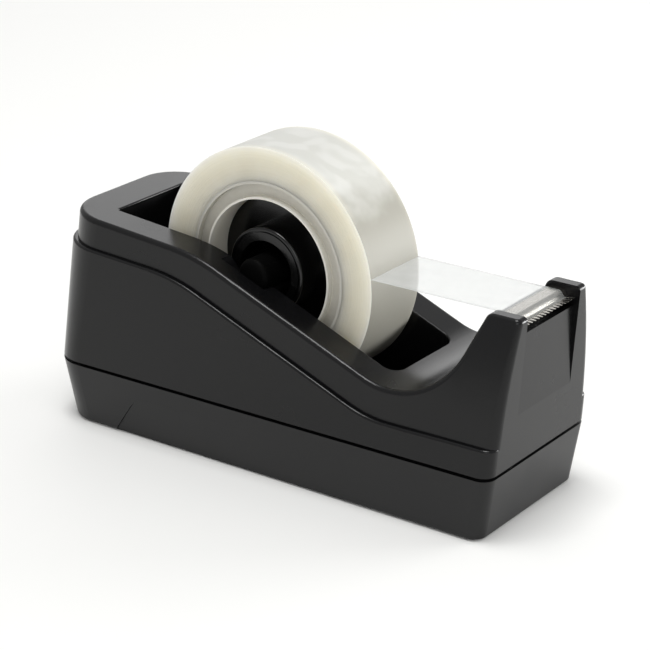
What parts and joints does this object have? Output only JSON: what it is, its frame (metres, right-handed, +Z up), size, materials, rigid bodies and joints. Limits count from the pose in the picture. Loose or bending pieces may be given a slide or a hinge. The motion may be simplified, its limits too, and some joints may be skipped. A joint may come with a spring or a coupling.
{
  "type": "tape dispenser",
  "caption": "Weighted desk dispenser for adhesive tape: a roll on a lift-out hub and axle in an open well, and a toothed cutter between two cheeks at the front.",
  "frame": {"origin": "on the desk, under the middle of the overall length and width", "axes": "+X towards the cutter, +Y to the left of someone who faces the cutter's way, +Z up"},
  "size_m": [0.1266, 0.0446, 0.0748],
  "materials": {
    "shell_plastic": "satin black moulded plastic",
    "base_plastic": "satin black moulded plastic",
    "ballast_iron": "raw casting, hidden in the base",
    "screw_steel": "zinc plated",
    "blade_steel": "bright sheet steel",
    "axle_plastic": "satin black moulded plastic",
    "hub_plastic": "semi-gloss black moulded plastic",
    "core_plastic": "off-white moulded core",
    "tape_film": "wound clear film, ivory in the roll",
    "strip_film": "one layer of clear film, matt upper face",
    "foot_rubber": "matt rubber pad"
  },
  "bodies": {
    "housing": {"upper_shell": "shell_plastic", "base_shell": "base_plastic", "ballast_weight": "ballast_iron", "housing_screws": "screw_steel", "cutter_blade": "blade_steel", "tape_strip": "strip_film", "foot_rear_near": "foot_rubber", "foot_rear_far": "foot_rubber", "foot_front_near": "foot_rubber", "foot_front_far": "foot_rubber"},
    "axle": {"axle": "axle_plastic"},
    "roll": {"hub": "hub_plastic", "tape_core": "core_plastic", "tape_winding": "tape_film"}
  },
  "joints": [
    {"name": "roll_lift", "type": "slide", "parent": "housing", "child": "axle", "axis": [-0.682, 0, 0.7314], "range_m": [0, 0.012]},
    {"name": "roll_turn", "type": "hinge", "parent": "axle", "child": "roll", "pos_m": [-0.00667, 0, 0.0458], "axis": [0, 1, 0], "continuous": true}
  ]
}
